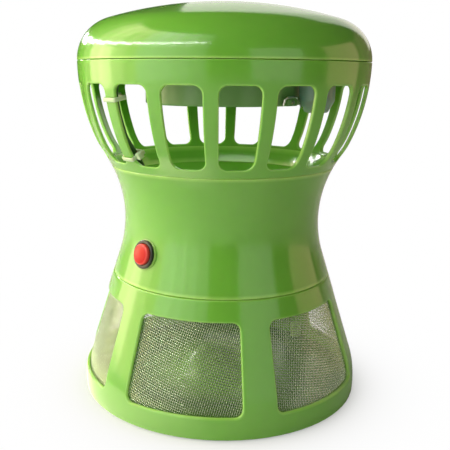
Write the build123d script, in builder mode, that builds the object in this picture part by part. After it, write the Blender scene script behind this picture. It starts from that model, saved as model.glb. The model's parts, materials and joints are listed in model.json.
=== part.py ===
"""Fan trap for flying insects: lure cap, ribbed cage, fan waist and a mesh catch basket.

Millimetres, +Z up. The origin is the middle of the footprint, on the surface the trap stands on.
Azimuths are in degrees about +Z: 0 is the front (-Y) and 90 is +X.
"""
from build123d import *
from math import asin, cos, pi, radians, sin, sqrt, tan
import os

os.makedirs("parts", exist_ok=True)

# ---- Driving dimensions ----------------------------------------------------------------------
WALL = 2.5                # moulded wall of every green shell
RIM_HEIGHT = 1.0          # the skirt's rim stays clear of the table, on the rubber feet
BASKET_TOP = 85.4
WAIST_BOTTOM = 85.8
WAIST_TOP = 162.5
CAGE_TOP = 232.2
CAP_BOTTOM = 232.6
CROWN_RISE = 38.5         # cap height above its rim
CROWN_CORNER = 28.0       # radius of the cap's rounded shoulder
# The side is a chain of tangent arcs: (height, lean from vertical in degrees, + is outwards going up)
SIDE_RADIUS = 99.4        # at height 0
SIDE = [(0.0, 5.5), (30.0, -18.0), (100.0, -18.0), (172.0, 35.0), (180.0, 24.0), (CAP_BOTTOM, 0.0)]

WINDOWS = 6
WINDOW_AZIMUTH = -14.3    # middle of the front window
WINDOW_ANGLE = 46.5
WINDOW_LOW, WINDOW_HIGH = 16.0, 72.0
WINDOW_CORNER = 5.0
POST_AZIMUTH = WINDOW_AZIMUTH + 180 / WINDOWS

RIBS = 18
RIB_AZIMUTH = -4.1        # middle of the front rib
GAP_ANGLE = 14.6
GAP_LOW, GAP_HIGH = 167.9, 217.8
GAP_CORNER = 5.0
LEAD_AZIMUTH = RIB_AZIMUTH - 2 * 360 / RIBS

SWITCH_AZIMUTH, INLET_AZIMUTH, FITTING_HEIGHT = -44.1, 180.0, 107.5
DUCT_RADIUS = 46.0
DRUM_RADIUS, DRUM_BOTTOM, DRUM_TOP = 54.0, 204.0, 246.0
LURE_PLACE, LURE_RADIUS, LURE_BOTTOM = (61.5, -27.5), 11.8, 199.8
THREAD_RADIUS = 1.25      # core of the small self-tapping screws


# ---- Geometry helpers ------------------------------------------------------------------------
def side_segments(inset):
    """The side moved inwards by inset: start, end and both leans of each arc or straight run."""
    segments = []
    radius = SIDE_RADIUS
    for (low, lean), (high, next_lean) in zip(SIDE, SIDE[1:]):
        a, b = radians(lean), radians(next_lean)
        start = (radius - inset * cos(a), low + inset * sin(a))
        if lean == next_lean:
            radius += (high - low) * tan(a)
        else:
            radius += (high - low) / (sin(b) - sin(a)) * (cos(a) - cos(b))
        end = (radius - inset * cos(b), high + inset * sin(b))
        segments.append((start, end, a, b))
    return segments


def side_at(height, inset=0.0):
    """Radius and lean of the side, moved inwards by inset, at a height."""
    segments = side_segments(inset)
    start, end, a, b = next((s for s in segments if height <= s[1][1]), segments[-1])
    if a == b:
        return start[0] + (height - start[1]) * tan(a), a
    bend = (end[1] - start[1]) / (sin(b) - sin(a))
    lean = asin(sin(a) + (height - start[1]) / bend)
    return start[0] + bend * (cos(a) - cos(lean)), lean


def side_curve(low, high, inset):
    """The side between two heights as a chain of tangent arcs, radius along X and height along Y."""
    joints = [end[1] for start, end, a, b in side_segments(inset)]
    levels = [low] + [z for z in joints if low + 0.01 < z < high - 0.01] + [high]
    with BuildLine() as curve:
        for z, next_z in zip(levels, levels[1:]):
            radius, lean = side_at(z, inset)
            next_radius, next_lean = side_at(next_z, inset)
            if abs(next_lean - lean) < 1e-6:
                Line((radius, z), (next_radius, next_z))
            else:
                TangentArc((radius, z), (next_radius, next_z), tangent=(sin(lean), cos(lean)))
    return curve.line


def wall_profile(low, high, outer=0.0, inner=WALL):
    """Half section of the skin between two insets and two heights."""
    with BuildSketch() as profile:
        with BuildLine():
            add(side_curve(low, high, outer))
            add(side_curve(low, high, inner))
            for z in (low, high):
                Line((side_at(z, outer)[0], z), (side_at(z, inner)[0], z))
        make_face()
    return profile.sketch


def ring_profile(inner, outer, low, high):
    """Half section of a plain ring or, with inner 0, of a disc."""
    with BuildSketch() as profile:
        with Locations(((inner + outer) / 2, (low + high) / 2)):
            Rectangle(outer - inner, high - low)
    return profile.sketch


def direction(azimuth):
    """Unit vector pointing outwards at an azimuth."""
    return Vector(sin(radians(azimuth)), -cos(radians(azimuth)), 0)


def spot(azimuth, radius, height):
    """A point given by azimuth, radius and height."""
    return direction(azimuth) * radius + Vector(0, 0, height)


def meridian(azimuth):
    """Upright plane through the axis: local X points outwards, local Y up."""
    outwards = direction(azimuth)
    return Plane(origin=(0, 0, 0), x_dir=outwards, z_dir=outwards.cross(Vector(0, 0, 1)))


def level(azimuth, radius, height):
    """Level plane at a spot, with local X pointing outwards."""
    return Plane(origin=spot(azimuth, radius, height), x_dir=direction(azimuth), z_dir=(0, 0, 1))


def seat(azimuth, height):
    """Plane on the side's outer surface, local Z along the outward normal."""
    radius, lean = side_at(height)
    normal = direction(azimuth) * cos(lean) + Vector(0, 0, -sin(lean))
    return Plane(origin=spot(azimuth, radius, height), x_dir=direction(azimuth + 90), z_dir=normal)


def above(plane, height):
    """The plane moved along its own normal."""
    return plane.offset(height)


def angular_cutter(middle, angle, low, high, corner):
    """Wedge with rounded corners that cuts one opening in a shell."""
    with BuildPart() as cutter:
        with BuildSketch(meridian(middle - angle / 2)):
            add(ring_profile(50, 125, low, high))
        revolve(axis=Axis.Z, revolution_arc=angle)
        radial_edges = cutter.edges().filter_by(GeomType.LINE).filter_by(Axis.Z, reverse=True)
        fillet(radial_edges, corner)
    return cutter.part


def posts(places, radius, low, high):
    """Upright cylinders, one at each (azimuth, radius) place."""
    with BuildPart() as group:
        for azimuth, reach in places:
            with BuildSketch(level(azimuth, reach, low)):
                Circle(radius)
            extrude(amount=high - low)
    return group.part


def screws(places, seat_height, upwards, head_radius=2.6, head_height=1.6):
    """Self-tapping screws whose heads sit under seat_height, as separate solids."""
    with BuildPart() as group:
        for azimuth, reach in places:
            with BuildSketch(level(azimuth, reach, seat_height - head_height)):
                Circle(head_radius)
            extrude(amount=head_height)
            with BuildSketch(level(azimuth, reach, seat_height)):
                Circle(THREAD_RADIUS)
            extrude(amount=upwards)
            with BuildSketch(level(azimuth, reach, seat_height - head_height)):
                Rectangle(3.2, 0.7)
                Rectangle(0.7, 3.2)
            extrude(amount=0.8, mode=Mode.SUBTRACT)
    return group.part


def spread(first, count, radius):
    """Evenly spread places round the axis."""
    return [(first + 360 / count * turn, radius) for turn in range(count)]


def save(part, name):
    """Labels a finished piece and writes its file."""
    part.label = name
    export_step(part, f"parts/{name}.step")


# ---- Catch basket ----------------------------------------------------------------------------
TRAY_LOW, TRAY_HIGH = 3.0, 5.5
TRAY_BOSSES = spread(POST_AZIMUTH, 3, 93.5)
TRAY_BOSS_TOP = 17.0
TRAY_CLEARANCE = 0.4


def make_basket_shell():
    window = angular_cutter(WINDOW_AZIMUTH, WINDOW_ANGLE, WINDOW_LOW, WINDOW_HIGH, WINDOW_CORNER)
    with BuildPart() as basket_shell:
        with BuildSketch(Plane.XZ):
            add(wall_profile(RIM_HEIGHT, BASKET_TOP))
        revolve(axis=Axis.Z)
        with PolarLocations(0, WINDOWS):
            add(window, mode=Mode.SUBTRACT)
        add(posts(TRAY_BOSSES, 4.5, TRAY_HIGH, TRAY_BOSS_TOP))
        add(posts(TRAY_BOSSES, THREAD_RADIUS, TRAY_HIGH, TRAY_BOSS_TOP - 2), mode=Mode.SUBTRACT)
    save(basket_shell.part, "basket_shell")


def make_screens():
    """One curved panel of mesh behind each window, drawn as a thin closed plate."""
    overlap_angle, overlap = 6.5, 5.0
    for number in range(WINDOWS):
        start = WINDOW_AZIMUTH + 360 / WINDOWS * number - (WINDOW_ANGLE + overlap_angle) / 2
        with BuildPart() as screen:
            with BuildSketch(meridian(start)):
                add(wall_profile(WINDOW_LOW - overlap, WINDOW_HIGH + overlap, WALL + 0.05, WALL + 0.75))
            revolve(axis=Axis.Z, revolution_arc=WINDOW_ANGLE + overlap_angle)
        save(screen.part, f"mesh_screen_{number + 1}")


def make_tray():
    dome_radius, dome_top, thickness = 33.0, 24.0, 2.5
    edge = side_at(TRAY_LOW, WALL)[0] - TRAY_CLEARANCE
    rise = dome_top - TRAY_HIGH
    bend = (dome_radius ** 2 + rise ** 2) / (2 * rise)
    half = dome_radius / 2
    sag = sqrt(bend ** 2 - half ** 2) - (bend - rise)
    with BuildPart() as bottom_tray:
        with BuildSketch(Plane.XZ):
            with BuildLine():
                Line((0, dome_top - thickness), (0, dome_top))
                ThreePointArc((0, dome_top), (half, TRAY_HIGH + sag), (dome_radius, TRAY_HIGH))
                Polyline((dome_radius, TRAY_HIGH), (edge, TRAY_HIGH), (edge, TRAY_LOW),
                         (dome_radius, TRAY_LOW))
                ThreePointArc((dome_radius, TRAY_LOW), (half, TRAY_LOW + sag),
                              (0, dome_top - thickness))
            make_face()
        revolve(axis=Axis.Z)
        add(posts(TRAY_BOSSES, THREAD_RADIUS + 0.25, TRAY_LOW, TRAY_HIGH), mode=Mode.SUBTRACT)
    save(bottom_tray.part, "bottom_tray")
    save(screws(TRAY_BOSSES, TRAY_LOW, 10.0, 2.8, 1.5), "tray_screws")

    with BuildPart() as rubber_feet:
        for azimuth, reach in spread(45, 4, 80.0):
            with BuildSketch(level(azimuth, reach, 0)):
                Circle(7.0)
            extrude(amount=TRAY_LOW)
    save(rubber_feet.part, "rubber_feet")


# ---- Waist, cage and funnel ------------------------------------------------------------------
SPIGOT_RADIUS = 74.6
SWITCH_HOLE = 8.0
INLET_HOLE = 4.0
PAD_BACK, PAD_FACE = -3.8, 0.7                 # faces of the flat pads, from the wall's outer surface
SKIN_GAP, LINER = WALL + 0.1, WALL + 1.9       # the cage's spigot, between these two insets
SPIGOT_LOW = 154.0
FUNNEL_BOSSES = spread(30, 3, 61.0)
TAB_LOW, TAB_HIGH = 124.0, 126.5
THROAT_LOW = 123.5
FAN_SCREWS = spread(67.5, 4, 52.0)


def fitting_cut(azimuth, hole):
    """Bore through the wall along the seat's normal."""
    with BuildPart() as cutter:
        with BuildSketch(above(seat(azimuth, FITTING_HEIGHT), -12)):
            Circle(hole)
        extrude(amount=24)
    return cutter.part


def fitting_pad(azimuth, radius):
    """Round pad, flat on both faces, that a round fitting is clamped on."""
    with BuildPart() as pad:
        with BuildSketch(above(seat(azimuth, FITTING_HEIGHT), PAD_BACK)):
            Circle(radius)
        extrude(amount=PAD_FACE - PAD_BACK)
    return pad.part


def make_waist_shell():
    with BuildPart() as waist_shell:
        with BuildSketch(Plane.XZ):
            add(wall_profile(WAIST_BOTTOM, WAIST_TOP))
            add(ring_profile(72.2, SPIGOT_RADIUS, 79.8, 88.2))
            add(ring_profile(72.2, 76.0, WAIST_BOTTOM, 88.2))
        revolve(axis=Axis.Z)
        add(fitting_pad(SWITCH_AZIMUTH, 10.2))
        add(fitting_pad(INLET_AZIMUTH, 7.5))
        add(fitting_cut(SWITCH_AZIMUTH, SWITCH_HOLE), mode=Mode.SUBTRACT)
        add(fitting_cut(INLET_AZIMUTH, INLET_HOLE), mode=Mode.SUBTRACT)
        for azimuth, reach in FUNNEL_BOSSES:
            with BuildSketch(level(azimuth, reach + 1.0, TAB_LOW)):
                Rectangle(10.0, 10.0)
            extrude(amount=TAB_HIGH - TAB_LOW)
        add(posts(FUNNEL_BOSSES, THREAD_RADIUS + 0.25, TAB_LOW, TAB_HIGH), mode=Mode.SUBTRACT)
    save(waist_shell.part, "waist_shell")


def make_cage_grille():
    gap = angular_cutter(RIB_AZIMUTH + 180 / RIBS, GAP_ANGLE, GAP_LOW, GAP_HIGH, GAP_CORNER)
    with BuildPart() as cage_grille:
        with BuildSketch(Plane.XZ):
            add(wall_profile(WAIST_TOP, CAGE_TOP))
            add(wall_profile(WAIST_TOP, GAP_LOW - 1.5, WALL - 0.5, LINER))
            add(wall_profile(SPIGOT_LOW, WAIST_TOP, SKIN_GAP, LINER))
        revolve(axis=Axis.Z)
        with PolarLocations(0, RIBS):
            add(gap, mode=Mode.SUBTRACT)
    save(cage_grille.part, "cage_grille")


def lead_path():
    """Centre line of the lead in its meridian: through the funnel, then up inside the rib."""
    points = [(61.0, 126.0), (61.0, 139.0)]
    points += [(side_at(z, LINER + 2.3)[0], z) for z in (152.0, 168.0)]
    points += [(side_at(z, WALL + 1.9)[0], z) for z in (186.0, 200.0, 212.0)]
    points += [(92.0, 219.0)]
    with BuildLine(meridian(LEAD_AZIMUTH)) as path:
        FilletPolyline(*points, radius=20.0)
    return path.line


def lead_tube(radius):
    path = lead_path()
    with BuildPart() as tube:
        with BuildSketch(Plane(origin=path @ 0, z_dir=path % 0)):
            Circle(radius)
        sweep(path=path)
    return tube.part


def funnel_line(shift):
    """Inside of the funnel, or with a shift its outside, from the cage's spigot to the throat."""
    top = side_at(SPIGOT_LOW, LINER - shift)[0]
    throat = DUCT_RADIUS + shift
    points = [(top, SPIGOT_LOW), (64.5 + shift, 147.0 - shift * 0.6), (throat, 128.0 - shift * 0.4),
              (throat, THROAT_LOW)]
    with BuildLine() as line:
        FilletPolyline(*points, radius=9.0 - shift)
    return line.line, points[0], points[-1]


def make_intake_funnel():
    thickness = 1.8
    inside, inside_top, inside_end = funnel_line(0.0)
    outside, outside_top, outside_end = funnel_line(thickness)
    with BuildPart() as intake_funnel:
        with BuildSketch(Plane.XZ):
            with BuildLine():
                add(inside)
                add(outside)
                Line(inside_top, outside_top)
                Line(inside_end, outside_end)
            make_face()
            add(ring_profile(DUCT_RADIUS, 56.0, THROAT_LOW, THROAT_LOW + 2.5))
        revolve(axis=Axis.Z)
        add(posts(FUNNEL_BOSSES, 3.6, TAB_HIGH, 138.0))
        add(posts(FUNNEL_BOSSES, THREAD_RADIUS, TAB_HIGH, 136.0), mode=Mode.SUBTRACT)
        add(posts(FAN_SCREWS, THREAD_RADIUS, THROAT_LOW, THROAT_LOW + 2.5), mode=Mode.SUBTRACT)
        add(lead_tube(2.2), mode=Mode.SUBTRACT)
    save(intake_funnel.part, "intake_funnel")
    save(screws(FUNNEL_BOSSES, TAB_LOW, 10.0), "funnel_screws")


# ---- Fan -------------------------------------------------------------------------------------
DUCT_LOW, DUCT_HIGH = 96.0, 123.5
FLANGE_LOW = 121.0
HUB_DISC_TOP = 98.5
MOTOR_RADIUS, MOTOR_TOP = 13.0, 110.0
SHAFT_RADIUS = 1.5
BOARD_AZIMUTH = 100.0
BOARD_POSTS = [(BOARD_AZIMUTH - 10, 53.5), (BOARD_AZIMUTH + 10, 53.5)]
BOARD_TOP = 113.6


def make_fan_housing():
    with BuildPart() as fan_housing:
        with BuildSketch(Plane.XZ):
            add(ring_profile(DUCT_RADIUS, DUCT_RADIUS + 2.5, DUCT_LOW, FLANGE_LOW + 1))
            add(ring_profile(DUCT_RADIUS, 56.0, FLANGE_LOW, DUCT_HIGH))
            add(ring_profile(3.0, 16.0, DUCT_LOW, HUB_DISC_TOP))
        revolve(axis=Axis.Z)
        for azimuth, reach in spread(22.5, 4, 31.0):
            with BuildSketch(level(azimuth, reach, DUCT_LOW)):
                Rectangle(32.0, 4.0)
            extrude(amount=3.5)
        add(posts(FAN_SCREWS, THREAD_RADIUS + 0.25, FLANGE_LOW, DUCT_HIGH), mode=Mode.SUBTRACT)
        add(posts(BOARD_POSTS, 2.4, BOARD_TOP, FLANGE_LOW + 1))
        add(posts(BOARD_POSTS, THREAD_RADIUS, BOARD_TOP, FLANGE_LOW - 1), mode=Mode.SUBTRACT)
    save(fan_housing.part, "fan_housing")
    save(screws(FAN_SCREWS, FLANGE_LOW, 5.0), "fan_screws")


def make_motor():
    with BuildPart() as fan_motor:
        with BuildSketch(Plane.XY.offset(HUB_DISC_TOP)):
            Circle(MOTOR_RADIUS)
        extrude(amount=MOTOR_TOP - HUB_DISC_TOP)
        fillet(fan_motor.edges().group_by(Axis.Z)[-1], 1.5)
        with BuildSketch(Plane.XY.offset(HUB_DISC_TOP)):
            Circle(SHAFT_RADIUS + 0.05)
        extrude(amount=MOTOR_TOP - HUB_DISC_TOP, mode=Mode.SUBTRACT)
    save(fan_motor.part, "fan_motor")

    with BuildPart() as motor_shaft:
        with BuildSketch(Plane.XY.offset(HUB_DISC_TOP + 0.3)):
            Circle(SHAFT_RADIUS)
        extrude(amount=17.0)
        chamfer(motor_shaft.edges().group_by(Axis.Z)[-1], 0.3)
    save(motor_shaft.part, "motor_shaft")


def make_impeller():
    blades, hub_radius, tip_reach = 7, 17.0, 43.5
    hub_low, hub_high, middle = 101.0, 116.5, 108.0
    with BuildPart() as impeller:
        with BuildSketch(Plane.XZ):
            add(ring_profile(0.0, hub_radius, hub_high - 2.5, hub_high))
            add(ring_profile(hub_radius - 2.3, hub_radius, hub_low, hub_high - 1))
            add(ring_profile(0.0, 4.0, MOTOR_TOP + 0.6, hub_high - 1))
        revolve(axis=Axis.Z)
        fillet(impeller.edges().group_by(Axis.Z)[-1], 1.2)
        for turn in range(blades):
            outwards = direction(360 / blades * turn)
            for reach, chord, pitch in ((hub_radius - 1.2, 15.0, 42.0), (tip_reach, 24.0, 24.0)):
                blade_plane = Plane(origin=outwards * reach + Vector(0, 0, middle),
                                    x_dir=outwards.cross(Vector(0, 0, 1)), z_dir=outwards)
                with BuildSketch(blade_plane):
                    SlotOverall(chord, 1.8, rotation=pitch)
            loft()
        with BuildSketch(Plane.XY.offset(HUB_DISC_TOP)):
            Circle(SHAFT_RADIUS)
        extrude(amount=17.3, mode=Mode.SUBTRACT)
    save(impeller.part, "impeller")


def make_driver_board():
    with BuildPart() as driver_board:
        with BuildSketch(level(BOARD_AZIMUTH, 57.2, BOARD_TOP - 1.6)):
            Rectangle(14.0, 30.0)
        extrude(amount=1.6)
        with BuildSketch(level(BOARD_AZIMUTH + 2, 59.0, BOARD_TOP - 8.6)):
            Circle(3.0)
        extrude(amount=7.2)
        with BuildSketch(level(BOARD_AZIMUTH - 6, 60.0, BOARD_TOP - 5.6)):
            Rectangle(5.0, 8.0)
        extrude(amount=4.2)
        add(posts(BOARD_POSTS, THREAD_RADIUS + 0.25, BOARD_TOP - 2, BOARD_TOP), mode=Mode.SUBTRACT)
    save(driver_board.part, "driver_board")
    save(screws(BOARD_POSTS, BOARD_TOP - 1.6, 6.0, 2.2, 1.2), "board_screws")


# ---- Switch and power inlet ------------------------------------------------------------------
BUTTON_RADIUS = 6.95
BEZEL_BORE = 7.2
BUTTON_TRAVEL = 2.5


def lathe(plane, steps):
    """Stack of discs and rings along the plane's normal: (outer, inner, low, high) each."""
    with BuildPart() as turned:
        for outer, inner, low, high in steps:
            with BuildSketch(above(plane, low)):
                Circle(outer)
                if inner:
                    Circle(inner, mode=Mode.SUBTRACT)
            extrude(amount=high - low)
    return turned.part


def hex_nut(plane, across_corners, bore, low, high):
    with BuildPart() as nut:
        with BuildSketch(above(plane, low)):
            RegularPolygon(across_corners, 6)
            Circle(bore, mode=Mode.SUBTRACT)
        extrude(amount=high - low)
    return nut.part


def make_switch():
    plane = seat(SWITCH_AZIMUTH, FITTING_HEIGHT)
    bezel_rim, button_face = PAD_FACE + 2.1, PAD_FACE + 5.0
    with BuildPart() as switch_bezel:
        add(lathe(plane, [(9.5, BEZEL_BORE, PAD_FACE, bezel_rim), (SWITCH_HOLE, BEZEL_BORE, -12.0, PAD_FACE)]))
        fillet(switch_bezel.edges().filter_by(GeomType.CIRCLE).sort_by(SortBy.RADIUS)[-1], 0.3)
        rim_edges = switch_bezel.edges().filter_by(GeomType.CIRCLE).filter_by(
            lambda edge: abs(plane.to_local_coords(edge.center()).Z - bezel_rim) < 0.05)
        fillet(rim_edges, 0.6)
    save(switch_bezel.part, "switch_bezel")

    save(hex_nut(plane, 10.2, SWITCH_HOLE, PAD_BACK - 2.8, PAD_BACK), "switch_nut")
    with BuildPart() as switch_body:
        add(lathe(plane, [(7.6, 0, -17.5, -12.0)]))
        with BuildSketch(above(plane, -20.0)):
            with Locations((-3.5, 0), (3.5, 0)):
                Rectangle(0.8, 2.8)
        extrude(amount=2.5)
    save(switch_body.part, "switch_body")

    with BuildPart() as push_button:
        add(lathe(plane, [(BUTTON_RADIUS, 0, -7.0, button_face)]))
        face_edge = push_button.edges().filter_by(
            lambda edge: abs(plane.to_local_coords(edge.center()).Z - button_face) < 0.05)
        fillet(face_edge, 1.2)
    save(push_button.part, "push_button")


def make_inlet():
    plane = seat(INLET_AZIMUTH, FITTING_HEIGHT)
    bore, pin = 2.85, 1.0
    steps = [(6.5, bore, PAD_FACE, PAD_FACE + 1.8), (INLET_HOLE, bore, -9.0, PAD_FACE),
             (INLET_HOLE, 0, -11.0, -9.0), (pin, 0, -9.0, -0.5)]
    save(lathe(plane, steps), "dc_socket")
    save(hex_nut(plane, 6.6, INLET_HOLE, PAD_BACK - 2.4, PAD_BACK), "dc_socket_nut")


# ---- Lead to the lamp ------------------------------------------------------------------------
LEAD_RADIUS = 1.5
TIE_HEIGHTS = (174.0, 209.3)


def make_lead():
    path = lead_path()
    lamp_lead = lead_tube(LEAD_RADIUS)
    save(lamp_lead, "lamp_lead")
    length = sum(edge.length for edge in path.edges())
    section = pi * LEAD_RADIUS ** 2
    print("lead length", round(length, 1), "tube volume / (section x length)",
          round(lamp_lead.volume / (section * length), 4))
    bends = [round(edge.radius, 1) for edge in path.edges().filter_by(GeomType.CIRCLE)]
    print("lead bend radii", bends)

    with BuildPart() as terminal_block:
        with BuildSketch(level(LEAD_AZIMUTH, 62.2, 118.0)):
            Rectangle(7.6, 11.0)
        extrude(amount=8.0)
    save(terminal_block.part, "terminal_block")

    with BuildPart() as lead_plug:
        with BuildSketch(level(LEAD_AZIMUTH, 90.2, 219.0)):
            Rectangle(8.0, 10.0)
        extrude(amount=7.4)
        with BuildSketch(level(LEAD_AZIMUTH, 95.0, 219.0)):
            Rectangle(2.6, 10.0)
        extrude(amount=3.0)
    save(lead_plug.part, "lead_plug")


def tie_frame(height):
    """One cable tie: a band round rib and lead, with its head and trimmed tail beside them."""
    band, thick, slack = 2.6, 1.0, 0.35
    lead_space = 2 * LEAD_RADIUS + 2.0
    depth = WALL + lead_space
    radius, lean = side_at(height, depth / 2)
    rib_width = 2 * side_at(height + band)[0] * sin(radians((360 / RIBS - GAP_ANGLE) / 2))
    along = direction(LEAD_AZIMUTH) * sin(lean) + Vector(0, 0, cos(lean))
    plane = Plane(origin=spot(LEAD_AZIMUTH, radius, height), x_dir=direction(LEAD_AZIMUTH + 90), z_dir=along)
    width = rib_width + 2 * slack
    inner_depth = depth + 2 * slack
    with BuildPart() as tie:
        with BuildSketch(above(plane, -band / 2)):
            RectangleRounded(width + 2 * thick, inner_depth + 2 * thick, 1.4)
            RectangleRounded(width, inner_depth, 0.5, mode=Mode.SUBTRACT)
        extrude(amount=band)
        side = (width + 2 * thick) / 2
        with BuildSketch(above(plane, -2.2)):
            with Locations((side + 1.0, 0.6)):
                Rectangle(3.2, 4.2)
        extrude(amount=4.4)
        with BuildSketch(above(plane, -band / 2)):
            with Locations((side + 1.2, 6.2)):
                Rectangle(1.1, 9.0)
        extrude(amount=band)
    return tie.part


def make_ties():
    with BuildPart() as cable_ties:
        for height in TIE_HEIGHTS:
            add(tie_frame(height))
    save(cable_ties.part, "cable_ties")


# ---- Cap and lamp ----------------------------------------------------------------------------
CAP_RADIUS = side_at(CAP_BOTTOM)[0]
DRUM_SCREWS = spread(10, 3, 60.0)
EAR_LOW, EAR_HIGH = 237.0, 240.0
COLLAR_RADIUS, COLLAR_BORE = 12.8, 9.3


def dome_profile(inset, low):
    """Filled half section under the dome, moved inwards by inset and cut off at a height."""
    flat = CAP_RADIUS - CROWN_CORNER
    crown = (flat ** 2 + CROWN_RISE ** 2 - CROWN_CORNER ** 2) / (2 * (CROWN_RISE - CROWN_CORNER))
    crown_centre = CAP_BOTTOM + CROWN_RISE - crown
    reach = sqrt(flat ** 2 + (CAP_BOTTOM - crown_centre) ** 2)
    meet = (flat / reach * (crown - inset),
            crown_centre + (CAP_BOTTOM - crown_centre) / reach * (crown - inset))
    rim = (CAP_RADIUS - inset, CAP_BOTTOM)
    top = (0, CAP_BOTTOM + CROWN_RISE - inset)
    with BuildSketch() as profile:
        with BuildLine():
            if low < CAP_BOTTOM:
                Line((CAP_RADIUS - inset, low), rim)
            corner = TangentArc(rim, meet, tangent=(0, 1))
            TangentArc(meet, top, tangent=corner % 1)
            Polyline(top, (0, low), (CAP_RADIUS - inset, low))
        make_face()
    return profile.sketch


def make_cap_shell():
    with BuildPart() as hangers:
        add(posts(DRUM_SCREWS, 4.2, EAR_HIGH, 280.0))
        with BuildSketch(Plane.XY.offset(236.0)):
            with Locations(LURE_PLACE):
                Circle(COLLAR_RADIUS)
        extrude(amount=40.0)
        with BuildSketch(Plane.XZ):
            add(dome_profile(WALL / 2, 200.0))
        revolve(axis=Axis.Z, mode=Mode.INTERSECT)

    with BuildPart() as cap_shell:
        with BuildSketch(Plane.XZ):
            add(dome_profile(0.0, CAP_BOTTOM))
            add(dome_profile(WALL, CAP_BOTTOM), mode=Mode.SUBTRACT)
            add(ring_profile(94.6, 97.0, 226.0, 236.0))
            add(ring_profile(94.6, 98.0, CAP_BOTTOM, 236.0))
        revolve(axis=Axis.Z)
        add(hangers.part)
        add(posts(DRUM_SCREWS, THREAD_RADIUS, EAR_HIGH, 249.0), mode=Mode.SUBTRACT)
        with BuildSketch(Plane.XY.offset(236.0)):
            with Locations(LURE_PLACE):
                Circle(COLLAR_BORE)
        extrude(amount=12.5, mode=Mode.SUBTRACT)
    save(cap_shell.part, "cap_shell")

    with BuildPart() as lead_socket:
        with BuildSketch(level(LEAD_AZIMUTH, 90.3, 226.8)):
            Rectangle(8.0, 10.0)
        extrude(amount=9.0)
    save(lead_socket.part, "lead_socket")


def make_lamp():
    inner = DRUM_RADIUS - 2.0
    board_low, lens_top = 212.0, 208.0
    with BuildPart() as lamp_housing:
        with BuildSketch(Plane.XZ):
            add(ring_profile(inner, DRUM_RADIUS, DRUM_BOTTOM, DRUM_TOP))
            add(ring_profile(42.0, DRUM_RADIUS, DRUM_BOTTOM, DRUM_BOTTOM + 2))
            add(ring_profile(49.0, DRUM_RADIUS - 1, DRUM_BOTTOM, board_low))
        revolve(axis=Axis.Z)
        for azimuth, reach in DRUM_SCREWS:
            with BuildSketch(level(azimuth, reach - 2.5, EAR_LOW)):
                Rectangle(13.0, 9.0)
            extrude(amount=EAR_HIGH - EAR_LOW)
        with BuildSketch(Plane.XY.offset(EAR_LOW)):
            Circle(inner)
        extrude(amount=EAR_HIGH - EAR_LOW, mode=Mode.SUBTRACT)
        add(posts(DRUM_SCREWS, THREAD_RADIUS + 0.25, EAR_LOW, EAR_HIGH), mode=Mode.SUBTRACT)
    save(lamp_housing.part, "lamp_housing")
    save(screws(DRUM_SCREWS, EAR_LOW, 10.0), "housing_screws")

    with BuildPart() as lamp_lens:
        with BuildSketch(Plane.XZ):
            add(ring_profile(0.0, 48.6, DRUM_BOTTOM + 2, lens_top))
            add(ring_profile(0.0, 41.8, DRUM_BOTTOM + 0.4, lens_top))
        revolve(axis=Axis.Z)
    save(lamp_lens.part, "lamp_lens")

    with BuildPart() as led_board:
        with BuildSketch(Plane.XY.offset(board_low)):
            Circle(inner - 0.4)
        extrude(amount=1.6)
    save(led_board.part, "led_board")

    uv_leds = posts(spread(0, 8, 30.0), 2.5, 208.8, board_low)
    uv_leds = fillet(uv_leds.edges().group_by(Axis.Z)[0], 2.2)
    save(uv_leds, "uv_leds")


def make_clip():
    """Chrome wire clip that steadies the lure, screwed with its block to the drum's side."""
    azimuth = 52.0
    with BuildPart() as clip_block:
        with BuildSketch(level(azimuth, DRUM_RADIUS + 1.2, 204.2)):
            Rectangle(3.6, 11.0)
        extrude(amount=4.2)
        with BuildSketch(Plane.XY.offset(204.2)):
            Circle(DRUM_RADIUS + 0.02)
        extrude(amount=4.2, mode=Mode.SUBTRACT)
    save(clip_block.part, "clip_block")

    with BuildPart() as clip_screw:
        screw_plane = Plane(origin=spot(azimuth, DRUM_RADIUS + 3.0, 206.3), x_dir=(0, 0, 1),
                            z_dir=direction(azimuth))
        add(lathe(screw_plane, [(1.6, 0, 0.0, 0.9)]))
    save(clip_screw.part, "clip_screw")

    wire, stand = 0.8, DRUM_RADIUS + 3.2
    points = [spot(44.5, stand - 1.9, 205.0), spot(44.0, stand, 209.8), spot(57.5, stand, 209.8),
              spot(55.6, stand + 3.0, 206.6), spot(53.0, stand + 6.4, 203.4)]
    with BuildPart() as wire_clip:
        with BuildLine() as path:
            FilletPolyline(*points, radius=1.7)
        with BuildSketch(Plane(origin=path.line @ 0, z_dir=path.line % 0)):
            Circle(wire)
        sweep()
    save(wire_clip.part, "wire_clip")


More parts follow.
